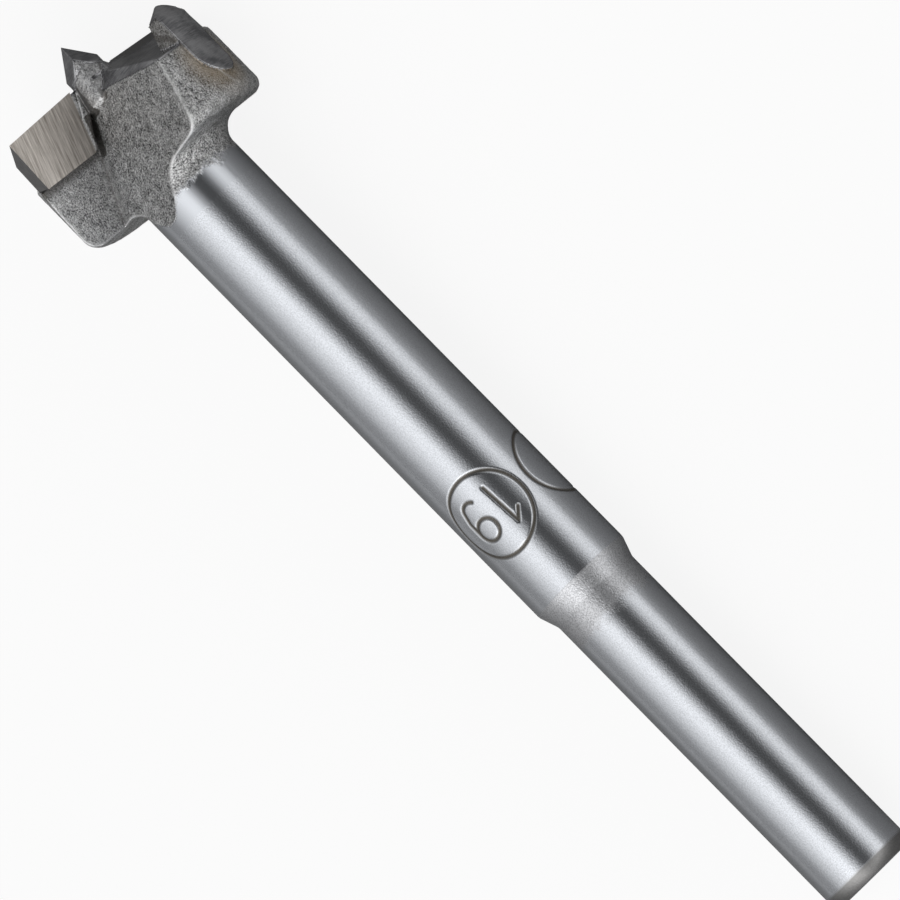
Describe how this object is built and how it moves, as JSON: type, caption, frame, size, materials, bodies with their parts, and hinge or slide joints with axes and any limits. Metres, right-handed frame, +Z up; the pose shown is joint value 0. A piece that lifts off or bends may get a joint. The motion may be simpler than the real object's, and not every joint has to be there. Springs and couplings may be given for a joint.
{
  "type": "forstner bit",
  "caption": "Hinge-boring forstner bit with a forged steel head, carbide blades, scoring spurs and a centre point on a stepped round shank; bores flat-bottomed holes in wood.",
  "frame": {"origin": "centre of the bit's bounding box in X and Y, on the table it lies on at Z = 0", "axes": "+X along the bit towards its centre point, +Y to its left seen from the shank, +Z up from the table"},
  "size_m": [0.09, 0.019, 0.0148],
  "materials": {
    "steel": "forged head, polished body and shank",
    "carbide": "ground"
  },
  "bodies": {
    "root": {"forged_body": "steel", "cutting_blade_1": "carbide", "cutting_blade_2": "carbide"}
  },
  "joints": []
}
